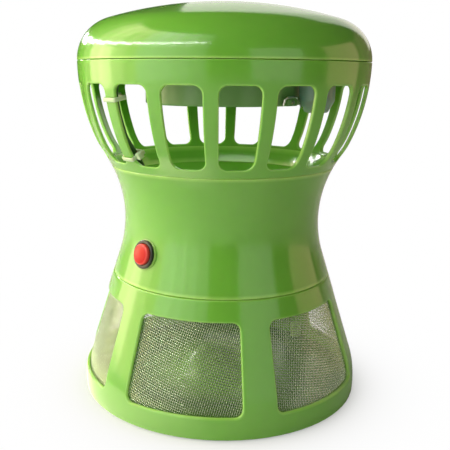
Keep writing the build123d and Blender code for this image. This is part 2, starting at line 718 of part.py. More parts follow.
# ---- Lure ------------------------------------------------------------------------------------
def make_lure():
    wall, foot, taper_top, mouth = 1.0, 7.4, 207.6, 233.0
    middle = (*LURE_PLACE, 0)
    with BuildPart() as lure_vial:
        with BuildSketch(Plane(origin=middle, x_dir=(1, 0, 0), z_dir=(0, -1, 0))):
            with BuildLine():
                FilletPolyline((0, LURE_BOTTOM), (foot, LURE_BOTTOM), (LURE_RADIUS, taper_top),
                               (LURE_RADIUS, mouth), radius=2.5)
                Line((LURE_RADIUS, mouth), (LURE_RADIUS - wall, mouth))
                FilletPolyline((LURE_RADIUS - wall, mouth), (LURE_RADIUS - wall, taper_top),
                               (foot - wall, LURE_BOTTOM + wall), (0, LURE_BOTTOM + wall), radius=1.8)
                Line((0, LURE_BOTTOM + wall), (0, LURE_BOTTOM))
            make_face()
        revolve(axis=Axis(middle, (0, 0, 1)))
    save(lure_vial.part, "lure_vial")

    stand = Plane(origin=middle)
    stopper = lathe(stand, [(LURE_RADIUS, 0, mouth, 235.4), (9.0, 0, 235.4, 245.5),
                            (LURE_RADIUS - wall, 0, 229.0, mouth)])
    save(stopper, "vial_stopper")
    save(lathe(stand, [(4.5, 2.0, 212.0, 229.0)]), "lure_plug")


if __name__ == "__main__":
    make_basket_shell()
    make_screens()
    make_tray()
    make_waist_shell()
    make_cage_grille()
    make_intake_funnel()
    make_fan_housing()
    make_motor()
    make_impeller()
    make_driver_board()
    make_switch()
    make_inlet()
    make_lead()
    make_ties()
    make_cap_shell()
    make_lamp()
    make_clip()
    make_lure()
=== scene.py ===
"""Looks of the fan trap: glossy green shells, woven steel screens, switch, lamp, lure and small fittings.

Lengths are in millimetres until a mesh is made, and MM turns them into metres.
Azimuths are in degrees about +Z: 0 is the front (-Y) and 90 is +X.
"""

import json
from math import cos, exp, pi, radians, sin, sqrt, tan

import bmesh
import bpy
import numpy as np
from mathutils import Matrix, Vector


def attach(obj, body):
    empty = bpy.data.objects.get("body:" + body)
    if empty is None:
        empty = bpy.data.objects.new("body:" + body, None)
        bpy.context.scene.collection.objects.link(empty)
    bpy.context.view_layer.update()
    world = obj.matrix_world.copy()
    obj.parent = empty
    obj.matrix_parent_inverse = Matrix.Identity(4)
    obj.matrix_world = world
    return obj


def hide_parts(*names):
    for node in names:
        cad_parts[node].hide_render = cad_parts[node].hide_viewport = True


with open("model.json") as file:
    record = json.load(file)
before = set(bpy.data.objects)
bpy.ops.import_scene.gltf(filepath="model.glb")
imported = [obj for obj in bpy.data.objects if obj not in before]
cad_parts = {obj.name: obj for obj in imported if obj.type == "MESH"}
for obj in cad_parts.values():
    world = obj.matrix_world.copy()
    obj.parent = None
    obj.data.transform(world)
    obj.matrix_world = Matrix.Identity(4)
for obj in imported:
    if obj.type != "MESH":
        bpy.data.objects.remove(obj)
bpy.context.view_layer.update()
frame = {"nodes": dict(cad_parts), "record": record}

# ---- Measures ----------------------------------------------------------------------------------
MM = 0.001
WALL = 2.5
BASKET_LOW, BASKET_TOP = 1.0, 85.4
WAIST_LOW, WAIST_TOP = 85.8, 162.5
CAGE_TOP = 232.2
CAP_LOW, CROWN_RISE, CROWN_CORNER = 232.6, 38.5, 28.0
SIDE_RADIUS = 99.4
SIDE = [(0.0, 5.5), (30.0, -18.0), (100.0, -18.0), (172.0, 35.0), (180.0, 24.0), (CAP_LOW, 0.0)]
WINDOWS, WINDOW_AZIMUTH, WINDOW_ANGLE = 6, -14.3, 46.5
WINDOW_LOW, WINDOW_HIGH, WINDOW_CORNER = 16.0, 72.0, 5.0
RIBS, RIB_AZIMUTH, GAP_ANGLE = 18, -4.1, 14.6
GAP_LOW, GAP_HIGH, GAP_CORNER = 167.9, 217.8, 5.5
LEAD_AZIMUTH = RIB_AZIMUTH - 2 * 360 / RIBS
SWITCH_AZIMUTH, INLET_AZIMUTH, FITTING_HEIGHT = -44.1, 180.0, 107.5
PAD_FACE = 0.7
DRUM_RADIUS, DRUM_LOW, DRUM_TOP = 54.0, 204.0, 246.0
LURE_PLACE, LURE_RADIUS, LURE_LOW = (61.5, -27.5), 11.8, 199.8
SEGMENTS = 192
WELD = 0.002 * MM


# ---- Camera ------------------------------------------------------------------------------------
def make_camera():
    """Eye-level view a little above the cage, looking slightly down."""
    place, heading, fall, roll = (0, -0.4783, 0.2243), 1.76, 12.70, 0.48
    data = bpy.data.cameras.new("camera")
    data.sensor_width, data.lens, data.shift_x = 36.0, 53.74, 0.0533
    camera = bpy.data.objects.new("camera", data)
    turn = Matrix.Rotation(radians(heading), 4, "Z") @ Matrix.Rotation(radians(90 - fall), 4, "X")
    camera.matrix_world = Matrix.Translation(place) @ turn @ Matrix.Rotation(radians(roll), 4, "Z")
    bpy.context.scene.collection.objects.link(camera)
    bpy.context.scene.camera = camera


make_camera()


# ---- Node trees --------------------------------------------------------------------------------
class Value:
    """A node's output, with arithmetic that adds Math nodes."""

    def __init__(self, nodes, socket):
        self.nodes, self.socket = nodes, socket

    def math(self, operation, first, second=0.0):
        sockets = {0: first, 1: second}
        return self.nodes.add("ShaderNodeMath", sockets, operation=operation)

    def __add__(self, other):
        return self.math("ADD", self, other)

    def __sub__(self, other):
        return self.math("SUBTRACT", self, other)

    def __mul__(self, other):
        return self.math("MULTIPLY", self, other)

    def __truediv__(self, other):
        return self.math("DIVIDE", self, other)

    def __mod__(self, other):
        return self.math("FLOORED_MODULO", self, other)

    def __gt__(self, other):
        return self.math("GREATER_THAN", self, other)

    def __pow__(self, other):
        return self.math("POWER", self, other)

    def __rsub__(self, other):
        return self.math("SUBTRACT", other, self)

    __radd__ = __add__
    __rmul__ = __mul__


class Nodes:
    """A node tree and the one way in which nodes are added to it."""

    def __init__(self, tree):
        self.tree = tree

    def add(self, kind, sockets=None, output=0, **settings):
        """Adds a node: its settings first, then its sockets' values or links. Returns one output."""
        node = self.tree.nodes.new(kind)
        for key, value in settings.items():
            setattr(node, key, value)
        for key, value in (sockets or {}).items():
            if isinstance(value, Value):
                self.tree.links.new(value.socket, node.inputs[key])
            else:
                node.inputs[key].default_value = value
        return Value(self, node.outputs[output]) if len(node.outputs) else node


def input_value(nodes, name):
    """A named input of a geometry tree."""
    group = next(n for n in nodes.tree.nodes if n.bl_idname == "NodeGroupInput")
    return Value(nodes, group.outputs[name])


def geometry_tree(name, inputs):
    """An empty geometry tree with a Geometry input and the named inputs asked for."""
    tree = bpy.data.node_groups.new(name, "GeometryNodeTree")
    tree.interface.new_socket("Geometry", in_out="INPUT", socket_type="NodeSocketGeometry")
    for label, kind in inputs:
        tree.interface.new_socket(label, in_out="INPUT", socket_type=kind)
    tree.interface.new_socket("Geometry", in_out="OUTPUT", socket_type="NodeSocketGeometry")
    tree.nodes.new("NodeGroupInput")
    return Nodes(tree)


def end_tree(nodes, geometry):
    """Realizes, gives the material and ends the tree."""
    real = nodes.add("GeometryNodeRealizeInstances", {0: geometry})
    dressed = nodes.add("GeometryNodeSetMaterial", {
        "Geometry": real, "Material": input_value(nodes, "Material")})
    nodes.add("NodeGroupOutput", {"Geometry": dressed})


def grow(base, nodes, values, name):
    """Runs a geometry tree on an object and returns the result as a plain mesh object."""
    modifier = base.modifiers.new("grow", "NODES")
    modifier.node_group = nodes.tree
    sockets = {item.name: item.identifier for item in nodes.tree.interface.items_tree
               if item.in_out == "INPUT"}
    for label, value in values.items():
        modifier[sockets[label]] = value
    bpy.context.view_layer.update()
    evaluated = base.evaluated_get(bpy.context.evaluated_depsgraph_get())
    mesh = bpy.data.meshes.new_from_object(evaluated)
    base.modifiers.remove(modifier)
    bpy.data.objects.remove(base)
    mesh.name = name
    piece = bpy.data.objects.new(name, mesh)
    bpy.context.scene.collection.objects.link(piece)
    mesh.polygons.foreach_set("use_smooth", [True] * len(mesh.polygons))
    return piece


def turned_copies_tree():
    """Copies a part evenly round the axis and welds the seams."""
    nodes = geometry_tree("turned copies", [("Count", "NodeSocketInt"), ("Weld Distance", "NodeSocketFloat"),
                                            ("Material", "NodeSocketMaterial")])
    count = input_value(nodes, "Count")
    line = nodes.add("GeometryNodeMeshLine", {"Count": count, "Offset": (0, 0, 0)})
    turn = nodes.add("GeometryNodeInputIndex") * (2 * pi) / count
    rotation = nodes.add("ShaderNodeCombineXYZ", {"Z": turn})
    placed = nodes.add("GeometryNodeInstanceOnPoints", {
        "Points": line, "Instance": input_value(nodes, "Geometry"), "Rotation": rotation})
    real = nodes.add("GeometryNodeRealizeInstances", {0: placed})
    welded = nodes.add("GeometryNodeMergeByDistance", {
        "Geometry": real, "Distance": input_value(nodes, "Weld Distance")})
    end_tree(nodes, welded)
    return nodes


def woven_wire_tree():
    """Flat square weave on the bias, trimmed to a tapered panel: X across, Y up, Z through."""
    nodes = geometry_tree("woven wire", [
        ("Wires", "NodeSocketInt"), ("Pitch Across", "NodeSocketFloat"), ("Pitch Up", "NodeSocketFloat"),
        ("Wire Radius", "NodeSocketFloat"), ("Bias", "NodeSocketFloat"),
        ("Half Width", "NodeSocketFloat"), ("Half Height", "NodeSocketFloat"), ("Taper", "NodeSocketFloat"),
        ("Material", "NodeSocketMaterial")])
    wires, radius = input_value(nodes, "Wires"), input_value(nodes, "Wire Radius")
    across, up = input_value(nodes, "Pitch Across"), input_value(nodes, "Pitch Up")

    def wire_layer(step, gap, lift_sign):
        """Wires along X, gap apart in Y, that rise and fall once in every two steps."""
        half_length, half_stack = (wires - 1) * step * 0.5, (wires - 1) * gap * 0.5
        start = nodes.add("ShaderNodeCombineXYZ", {"X": 0.0 - half_length})
        finish = nodes.add("ShaderNodeCombineXYZ", {"X": half_length})
        wire = nodes.add("GeometryNodeCurvePrimitiveLine", {"Start": start, "End": finish})
        wire = nodes.add("GeometryNodeResampleCurve", {"Curve": wire, "Count": wires})
        low = nodes.add("ShaderNodeCombineXYZ", {"Y": 0.0 - half_stack})
        rise = nodes.add("ShaderNodeCombineXYZ", {"Y": gap})
        stack = nodes.add("GeometryNodeMeshLine", {"Count": wires, "Start Location": low, "Offset": rise})
        layer = nodes.add("GeometryNodeInstanceOnPoints", {"Points": stack, "Instance": wire})
        layer = nodes.add("GeometryNodeRealizeInstances", {0: layer})
        index = nodes.add("GeometryNodeInputIndex")
        row = nodes.add("ShaderNodeMath", {0: index / wires}, operation="FLOOR")
        over = 1.0 - ((index % wires + row) % 2.0) * 2.0
        lift = nodes.add("ShaderNodeCombineXYZ", {"Z": over * radius * lift_sign})
        return nodes.add("GeometryNodeSetPosition", {"Geometry": layer, "Offset": lift})

    warp = wire_layer(across, up, 1.0)
    weft = nodes.add("GeometryNodeTransform", {
        "Geometry": wire_layer(up, across, -1.0), "Rotation": (0, 0, pi / 2)})
    both = nodes.tree.nodes.new("GeometryNodeJoinGeometry")
    for part in (warp, weft):
        nodes.tree.links.new(part.socket, both.inputs[0])
    bias = nodes.add("ShaderNodeCombineXYZ", {"Z": input_value(nodes, "Bias")})
    cloth = nodes.add("GeometryNodeTransform", {"Geometry": Value(nodes, both.outputs[0]), "Rotation": bias})
    place = nodes.add("GeometryNodeInputPosition")
    split = nodes.tree.nodes.new("ShaderNodeSeparateXYZ")
    nodes.tree.links.new(place.socket, split.inputs[0])
    x, y = Value(nodes, split.outputs[0]), Value(nodes, split.outputs[1])
    wide = nodes.add("ShaderNodeMath", {0: x}, operation="ABSOLUTE")
    tall = nodes.add("ShaderNodeMath", {0: y}, operation="ABSOLUTE")
    edge = input_value(nodes, "Half Width") - y * input_value(nodes, "Taper")
    outside = (wide > edge) + (tall > input_value(nodes, "Half Height"))
    trimmed = nodes.add("GeometryNodeDeleteGeometry", {"Geometry": cloth, "Selection": outside > 0.5},
                        domain="POINT")
    section = nodes.add("GeometryNodeCurvePrimitiveCircle", {"Resolution": 4, "Radius": radius})
    solid = nodes.add("GeometryNodeCurveToMesh", {
        "Curve": trimmed, "Profile Curve": section, "Fill Caps": True})
    end_tree(nodes, solid)
    return nodes


# ---- Finishes ----------------------------------------------------------------------------------
def finish(name, colour, roughness, metallic=0.0, mottle=0.06, grain=0.1, grain_size=0.6, lip_painted_light_colour=None,
           speckle_size=9.0, **constants):
    """A moulded, turned or drawn surface: colour drift, uneven gloss, fine relief, another colour at lips,
    which is painted light: painted highlights on rounded edges, painted shade on the tray's outer floor.

    grain_size and speckle_size are in millimetres. constants are values for the shader's own sockets.
    """
    cloud_scale, grain_depth, wave_depth = 14.0, 0.05 * MM, 0.8 * MM
    speckle_scale, grain_scale = 1 / (speckle_size * MM), 1 / (grain_size * MM)
    material = bpy.data.materials.new(name)
    material.use_nodes = True
    material.node_tree.nodes.clear()
    nodes = Nodes(material.node_tree)
    place = nodes.add("ShaderNodeTexCoord", output=3)
    drift = nodes.add("ShaderNodeTexNoise", {"Vector": place, "Scale": speckle_scale, "Detail": 3.0})
    fine = nodes.add("ShaderNodeTexNoise", {"Vector": place, "Scale": grain_scale, "Detail": 4.0})
    broad = nodes.add("ShaderNodeTexNoise", {"Vector": place, "Scale": cloud_scale, "Detail": 2.0})
    dark = tuple(c * (1 - mottle) for c in colour) + (1,)
    light = tuple(min(1, c * (1 + mottle)) for c in colour) + (1,)
    tone = nodes.add("ShaderNodeMix", {"Factor": drift * 0.6 + broad * 0.4, 6: dark, 7: light}, output=2,
                     data_type="RGBA")
    # Painted light: where the lip layer is set, the tone is mixed towards the lip colour. This is a painted
    # highlight on rounded edges and painted shade on the tray's outer floor.
    if lip_painted_light_colour:
        lip = nodes.add("ShaderNodeAttribute", attribute_name="lip", output=2)
        painted_light_share = lip * (0.45 + drift * 0.6)
        tone = nodes.add("ShaderNodeMix", {"Factor": painted_light_share, 6: tone, 7: lip_painted_light_colour + (1,)}, output=2,
                         data_type="RGBA")
    gloss = roughness * 0.85 + broad * (0.18 * roughness) + fine * (0.12 * roughness)
    relief = nodes.add("ShaderNodeBump", {"Height": fine, "Strength": grain, "Distance": grain_depth})
    wave = nodes.add("ShaderNodeBump", {"Height": broad, "Strength": 0.06, "Distance": wave_depth,
                                        "Normal": relief})
    sockets = {"Base Color": tone, "Roughness": gloss, "Normal": wave, "Metallic": metallic, **constants}
    shader = nodes.add("ShaderNodeBsdfPrincipled", sockets)
    nodes.add("ShaderNodeOutputMaterial", {"Surface": shader})
    return material


def drawn_steel(name, colour, roughness, stretch=(1.0, 1.0, 14.0)):
    """Metal with fine drawn lines along Z."""
    material = finish(name, colour, roughness, metallic=1.0, mottle=0.1, grain=0.12, grain_size=0.25)
    tree = material.node_tree
    mapping = tree.nodes.new("ShaderNodeMapping")
    mapping.inputs["Scale"].default_value = stretch
    place = next(n for n in tree.nodes if n.bl_idname == "ShaderNodeTexCoord")
    for link in list(place.outputs[3].links):
        tree.links.new(mapping.outputs[0], link.to_socket)
    tree.links.new(place.outputs[3], mapping.inputs[0])
    return material


GREEN = (0.172, 0.470, 0.050)
FINISHES = {
    # The shell's lighter lip colour is a painted highlight on rounded edges and round the openings.
    "green_shell": finish("glossy green shell", GREEN, 0.14, mottle=0.05, grain=0.05, grain_size=1.1,
                          lip_painted_light_colour=(0.40, 0.72, 0.15),
                          **{"Specular IOR Level": 0.85, "Subsurface Weight": 0.5,
                             "Subsurface Scale": 0.004, "Subsurface Radius": (0.6, 1.0, 0.35)}),
    # The tray's dark lip colour is painted shade on the floor outside the dome.
    "shaded_tray": finish("green tray with painted shade", (0.20, 0.52, 0.06), 0.16, mottle=0.08,
                         lip_painted_light_colour=(0.016, 0.085, 0.014)),
    "dark_plastic": finish("dark fan plastic", (0.020, 0.026, 0.020), 0.42, grain=0.3),
    "black_plastic": finish("black switch plastic", (0.012, 0.013, 0.012), 0.24, grain=0.2),
    "lamp_plastic": finish("lamp drum plastic", (0.220, 0.440, 0.150), 0.30, mottle=0.12, grain=0.15),
    "motor_can": drawn_steel("motor can", (0.42, 0.42, 0.43), 0.34),
    "steel": drawn_steel("zinc plated screws", (0.62, 0.62, 0.60), 0.30),
    "chrome_wire": finish("chrome wire", (0.80, 0.81, 0.80), 0.09, metallic=1.0, mottle=0.04, grain=0.03),
    # The green in the wire's colour is a painted reflection of the green shell round it.
    "steel_mesh": finish("woven steel wire", (0.66, 0.78, 0.56), 0.16, metallic=1.0, mottle=0.25, grain=0.2,
                         grain_size=0.3, speckle_size=4.0),
    "circuit_board": finish("solder mask", (0.012, 0.11, 0.030), 0.35, mottle=0.2, grain=0.2,
                            speckle_size=2.0),
    "led_resin": finish("clear lamp resin", (0.72, 0.66, 0.92), 0.08, mottle=0.02, grain=0.02,
                        **{"Transmission Weight": 0.7}),
    "clear_lens": finish("clear lamp lens", (0.82, 0.90, 0.84), 0.12, mottle=0.02, grain=0.1,
                         **{"Transmission Weight": 0.85}),
    # The button's lighter lip colour is a painted highlight on its rounded shoulder and edges.
    "red_button": finish("glossy red button", (0.55, 0.010, 0.008), 0.26, mottle=0.04, grain=0.05,
                         lip_painted_light_colour=(0.90, 0.10, 0.08), **{"Specular IOR Level": 0.3}),
    "lead_jacket": finish("lead jacket", (0.030, 0.110, 0.020), 0.40, grain=0.2),
    "white_nylon": finish("natural nylon", (0.54, 0.70, 0.42), 0.38, mottle=0.05, grain=0.1,
                          **{"Subsurface Weight": 0.2, "Subsurface Scale": 0.002}),
    "vial_plastic": finish("milky vial", (0.30, 0.44, 0.38), 0.22, mottle=0.05, grain=0.05,
                           **{"Subsurface Weight": 0.6, "Subsurface Scale": 0.004}),
    "lure_rubber": finish("lure rubber", (0.30, 0.12, 0.06), 0.6, mottle=0.15, grain=0.5),
    "rubber_foot": finish("black rubber", (0.018, 0.018, 0.018), 0.7, mottle=0.15, grain=0.5),
}


# ---- Mesh helpers ------------------------------------------------------------------------------
def side_radius(height, inset=0.0):
    """Radius of the hourglass side, moved inwards by inset, at the heights given."""
    height, inset = np.broadcast_arrays(np.asarray(height, float), np.asarray(inset, float))
    radius, result = SIDE_RADIUS, np.full(height.shape, np.nan)
    for (low, lean), (high, next_lean) in zip(SIDE, SIDE[1:]):
        a, b = radians(lean), radians(next_lean)
        start_height = low + inset * sin(a)
        start_radius = radius - inset * cos(a)
        if lean == next_lean:
            local = start_radius + (height - start_height) * tan(a)
            radius += (high - low) * tan(a)
        else:
            bend = (high - low) / (sin(b) - sin(a))
            tilt = np.arcsin(np.clip(sin(a) + (height - start_height) / (bend + inset), -1, 1))
            local = start_radius + (bend + inset) * (cos(a) - np.cos(tilt))
            radius += bend * (cos(a) - cos(b))
        past_end = height > high + inset * sin(b)
        fill = np.isnan(result) & ~past_end
        result = np.where(fill, local, result)
    return np.where(np.isnan(result), local, result)


def side_lean(height):
    """Lean of the side from vertical at a height, in radians."""
    step = 0.05
    return float(np.arctan((side_radius(height + step) - side_radius(height - step)) / (2 * step)))


def polar(azimuth, radius, height):
    """Points in metres from azimuths in degrees, radii and heights."""
    turn = np.radians(azimuth)
    return np.stack(np.broadcast_arrays(radius * np.sin(turn), -radius * np.cos(turn), height), -1) * MM


def new_piece(name, mesh_maker, material):
    """Makes a smooth mesh object from a bmesh filled in by mesh_maker."""
    shape = bmesh.new()
    # The lip layer marks where a finish paints light: painted highlights on rounded edges, painted shade on
    # the tray.
    lip = shape.verts.layers.float.new("lip")
    mesh_maker(shape, lip)
    bmesh.ops.remove_doubles(shape, verts=shape.verts, dist=WELD)
    mesh = bpy.data.meshes.new(name)
    shape.to_mesh(mesh)
    shape.free()
    mesh.polygons.foreach_set("use_smooth", [True] * len(mesh.polygons))
    mesh.materials.append(material)
    piece = bpy.data.objects.new(name, mesh)
    bpy.context.scene.collection.objects.link(piece)
    return piece


def quads(shape, lip, rows, lips, around=True, closed=True):
    """Joins rows of points into quads. around closes each row on itself, closed joins last to first."""
    table = []
    for points, soft in zip(rows, lips):
        line = [shape.verts.new(point) for point in points]
        for vert in line:
            vert[lip] = soft
        table.append(line)
    pairs = list(zip(table, table[1:] + table[:1])) if closed else list(zip(table, table[1:]))
    for first, second in pairs:
        count = len(first)
        for i in range(count if around else count - 1):
            j = (i + 1) % count
            shape.faces.new((first[i], first[j], second[j], second[i]))


def rounded(corners, steps=5):
    """Closed outline from (x, y, corner radius). Returns its points and which of them are on a lip."""
    points, lips = [], []
    total = len(corners)
    for i, (x, y, radius) in enumerate(corners):
        corner = Vector((x, y))
        if radius <= 0:
            points.append((x, y))
            lips.append(0.0)
            continue
        before = (Vector(corners[i - 1][:2]) - corner)
        after = (Vector(corners[(i + 1) % total][:2]) - corner)
        half = before.angle(after) / 2
        reach = min(radius / tan(half), before.length * 0.499, after.length * 0.499)
        radius = reach * tan(half)
        inwards = (before.normalized() + after.normalized()).normalized()
        centre = corner + inwards * sqrt(reach ** 2 + radius ** 2)
        start = corner + before.normalized() * reach - centre
        end = corner + after.normalized() * reach - centre
        for step in range(steps + 1):
            share = step / steps
            spoke = (start.lerp(end, share)).normalized() * radius
            points.append(tuple(centre + spoke))
            lips.append(1.0)
    return points, lips


def turn_profile(outline, lips, segments=SEGMENTS, to_world=None):
    """A mesh_maker that turns a closed (radius, height) outline about its axis."""
    def maker(shape, lip):
        azimuths = np.linspace(0, 360, segments, endpoint=False)
        quads(shape, lip, [polar(azimuths, radius, height) for radius, height in outline], lips)
        if to_world:
            bmesh.ops.transform(shape, matrix=to_world, verts=shape.verts)
        bmesh.ops.remove_doubles(shape, verts=shape.verts, dist=WELD)
        bmesh.ops.recalc_face_normals(shape, faces=shape.faces)
    return maker


def lathe(name, corners, material, segments=SEGMENTS, to_world=None, steps=5):
    """A turned piece from an outline with rounded corners."""
    outline, lips = rounded(corners, steps)
    return new_piece(name, turn_profile(outline, lips, segments, to_world), material)


def block(name, size, bevel, material, to_world):
    """A moulded block with rolled edges."""
    def maker(shape, lip):
        made = bmesh.ops.create_cube(shape, size=1.0)
        bmesh.ops.scale(shape, vec=Vector(size) * MM, verts=made["verts"])
        bmesh.ops.bevel(shape, geom=shape.edges[:], offset=bevel * MM, segments=3, affect="EDGES",
                        profile=0.5)
        bmesh.ops.transform(shape, matrix=to_world, verts=shape.verts)
    return new_piece(name, maker, material)


def seat_matrix(azimuth, height):
    """Turns a piece made about +Z at the origin so that it stands on the side's outer face."""
    lean = side_lean(height)
    outwards = Vector((sin(radians(azimuth)), -cos(radians(azimuth)), 0))
    normal = outwards * cos(lean) - Vector((0, 0, 1)) * sin(lean)
    across = Vector((cos(radians(azimuth)), sin(radians(azimuth)), 0))
    rest = Matrix((across, normal.cross(across), normal)).transposed().to_4x4()
    foot = outwards * float(side_radius(height)) + Vector((0, 0, height))
    return Matrix.Translation(foot * MM) @ rest


def shift_matrix(x, y, z=0.0):
    """A move in millimetres."""
    return Matrix.Translation(Vector((x, y, z)) * MM)


def spread(first, count, radius):
    """Moves to count places spaced evenly on a circle, from the azimuth of the first."""
    azimuths = [radians(first + 360 / count * turn) for turn in range(count)]
    return [shift_matrix(radius * sin(azimuth), -radius * cos(azimuth)) for azimuth in azimuths]


def spokes(first, count, radius, height):
    """Moves and turns to count places on a circle, with X pointing outwards."""
    outwards = shift_matrix(radius, 0, height)
    return [Matrix.Rotation(radians(first - 90 + 360 / count * turn), 4, "Z") @ outwards
            for turn in range(count)]


def side_run(low, high, inset, step=2.5):
    """Corner-free points of the side between two heights."""
    heights = np.linspace(low, high, max(3, int(abs(high - low) / step)))
    return [(float(side_radius(z, inset)), float(z), 0.0) for z in heights]


def wall_outline(low, high, lip=0.5):
    """Closed outline of the shell's wall between two heights, with rounded lips."""
    outer = side_run(low, high, 0.0)
    inner = side_run(high, low, WALL)
    for run in (outer, inner):
        run[0] = run[0][:2] + (lip,)
        run[-1] = run[-1][:2] + (lip,)
    return outer + inner


# ---- Shells with openings ----------------------------------------------------------------------
CORNER_STEPS, SIDE_STEPS, END_STEPS, ROLL_STEPS = 6, 14, 12, 4
SIDE_COUNT, END_COUNT = 2 * CORNER_STEPS + SIDE_STEPS, 2 * CORNER_STEPS + END_STEPS
TURNINGS = (0, SIDE_COUNT, SIDE_COUNT + END_COUNT, 2 * SIDE_COUNT + END_COUNT, 2 * (SIDE_COUNT + END_COUNT))


def hole_loop(hole, half_angle, corner, grow_by):
    """(azimuth, height) points round a rounded opening, clockwise from the middle of its upper right corner.

    grow_by widens the opening by that many millimetres all round.
    """
    low, high, corner = hole[0] - grow_by, hole[1] + grow_by, corner + grow_by
    quarter = np.linspace(0, pi / 4, CORNER_STEPS, endpoint=False)

    def side(height):
        return half_angle + np.degrees(grow_by / side_radius(height))

    def bend(right, upper, angles):
        """Points on one corner, at angles from the opening's end towards its side."""
        middle = high - corner if upper > 0 else low + corner
        height = middle + upper * corner * np.cos(angles)
        inward = np.degrees(corner * (1 - np.sin(angles)) / side_radius(height))
        return np.stack([right * (side(height) - inward), height], -1)

    loop = []
    for way in (1, -1):  # down the right side and along the low end, then up the left side and along the top
        ends = (high - corner, low + corner)[::way]
        run = np.linspace(*ends, SIDE_STEPS, endpoint=False)
        start = bend(way, -way, np.zeros(1))[0]
        shares = np.linspace(1, -1, END_STEPS, endpoint=False)
        loop += [bend(way, way, pi / 4 + quarter), np.stack([way * side(run), run], -1),
                 bend(way, -way, pi / 2 - quarter), bend(way, -way, pi / 4 - quarter),
                 np.stack([start[0] * shares, np.full(END_STEPS, start[1])], -1),
                 bend(-way, -way, quarter)]
    return np.concatenate(loop)


def frame_loop(loop, low, high, half_span):
    """The loop on the sector's straight border that matches an opening's loop point by point."""
    border = loop.copy()
    corners = loop[list(TURNINGS[:4]), 1]
    top, bottom = corners.max(), corners.min()
    border[:, 1] = low + (np.clip(loop[:, 1], bottom, top) - bottom) / (top - bottom) * (high - low)
    for first, last, way in ((0, 1, 1), (2, 3, -1)):
        border[TURNINGS[first]:TURNINGS[last], 0] = way * half_span
    for first, last, height in ((1, 2, low), (3, 4, high)):
        picked = slice(TURNINGS[first], TURNINGS[last])
        reach = abs(loop[TURNINGS[first], 0])
        border[picked, 0] = np.clip(loop[picked, 0] / reach, -1, 1) * half_span
        border[picked, 1] = height
    return border


def rolled_edge(radius):
    """Steps round a wall's rolled edge: distance back from its tip, depth below the outer face, lip share."""
    angles = np.linspace(0, pi / 2, ROLL_STEPS + 1)
    outer = [(radius * (1 - sin(t)), radius * (1 - cos(t)), sin(t)) for t in angles]
    return outer + [(back, WALL - depth, soft) for back, depth, soft in outer[::-1]]


def shell_sector(low, high, openings, hole, half_angle, corner, middle, edge, lip, border_steps=7):
    """A mesh_maker for one repeat of a shell: an opening with rolled edges, and the band round it.

    hole holds the opening's low and high ends, middle is its azimuth, edge and lip are the rolls' radii.
    """
    half_span = 180.0 / openings

    def surface(points, inset):
        return polar(points[:, 0] + middle, side_radius(points[:, 1], inset), points[:, 1])

    def maker(shape, layer):
        near = hole_loop(hole, half_angle, corner, edge)
        border = frame_loop(near, low + lip, high - lip, half_span)
        bands = [near + (border - near) * (step / border_steps) ** 1.5 for step in range(border_steps, 0, -1)]
        rows, lips = [surface(band, 0.0) for band in bands], [0.0] * border_steps
        for back, depth, soft in rolled_edge(edge):
            rows.append(surface(hole_loop(hole, half_angle, corner, back), depth))
            # Rolled edges round the openings get at least 0.35 of the shell's painted highlight.
            lips.append(max(soft, 0.35))
        rows += [surface(band, WALL) for band in bands[::-1]]
        lips += [0.0] * border_steps
        quads(shape, layer, rows, lips, closed=False)
        for rim_height, way, along in ((high, 1, [*range(TURNINGS[3], TURNINGS[4]), 0]),
                                       (low, -1, [*range(TURNINGS[1], TURNINGS[2] + 1)])):
            rim_rows, rim_lips = [], []
            for back, depth, soft in rolled_edge(lip):
                height = rim_height - way * back
                rim_rows.append(polar(border[along, 0] + middle, side_radius(height, depth), height))
                rim_lips.append(soft)
            quads(shape, layer, rim_rows, rim_lips, around=False, closed=False)
    return maker


def outward(piece):
    """Points every face of a closed piece outwards."""
    shape = bmesh.new()
    shape.from_mesh(piece.data)
    bmesh.ops.recalc_face_normals(shape, faces=shape.faces)
    shape.to_mesh(piece.data)
    shape.free()
    return piece


def join(name, *pieces):
    """Joins pieces into one mesh object with the first one's material."""
    shape = bmesh.new()
    for piece in pieces:
        shape.from_mesh(piece.data)
    mesh = bpy.data.meshes.new(name)
    shape.to_mesh(mesh)
    shape.free()
    mesh.materials.append(pieces[0].data.materials[0])
    for piece in pieces:
        bpy.data.objects.remove(piece)
    joined = bpy.data.objects.new(name, mesh)
    bpy.context.scene.collection.objects.link(joined)
    mesh.polygons.foreach_set("use_smooth", [True] * len(mesh.polygons))
    return joined


def dress(piece, body, slot, *nodes):
    """Rides a piece on its body and hides the CAD nodes that it stands for. slot is not used."""
    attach(piece, body)
    if nodes:
        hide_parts(*nodes)
    return piece


COPIES = turned_copies_tree()
GREEN_SHELL = FINISHES["green_shell"]


def repeated_shell(name, count, maker):
    """Turns one sector into a whole shell."""
    sector = new_piece(name + "_sector", maker, GREEN_SHELL)
    whole = grow(sector, COPIES, {"Count": count, "Weld Distance": 1e-5, "Material": GREEN_SHELL}, name)
    return outward(whole)


def make_basket():
    """The skirt with its windows and three bosses for the tray screws."""
    bore, boss_radius, boss_foot, boss_top, boss_circle = 1.25, 4.4, 5.6, 17.0, 93.5
    sector = shell_sector(BASKET_LOW, BASKET_TOP, WINDOWS, (WINDOW_LOW, WINDOW_HIGH), WINDOW_ANGLE / 2,
                          WINDOW_CORNER, WINDOW_AZIMUTH, edge=1.0, lip=0.8, border_steps=9)
    shell = repeated_shell("basket_with_windows", WINDOWS, sector)
    outline = [(bore, boss_foot, 0), (boss_radius, boss_foot, 0.3), (boss_radius - 0.1, boss_top, 0.8),
               (bore, boss_top, 0.3)]
    bosses = [lathe("boss", outline, GREEN_SHELL, 32, place)
              for place in spread(WINDOW_AZIMUTH + 180 / WINDOWS, 3, boss_circle)]
    dress(join("basket_with_bosses", shell, *bosses), "catch_basket", "green_shell", "basket_shell")


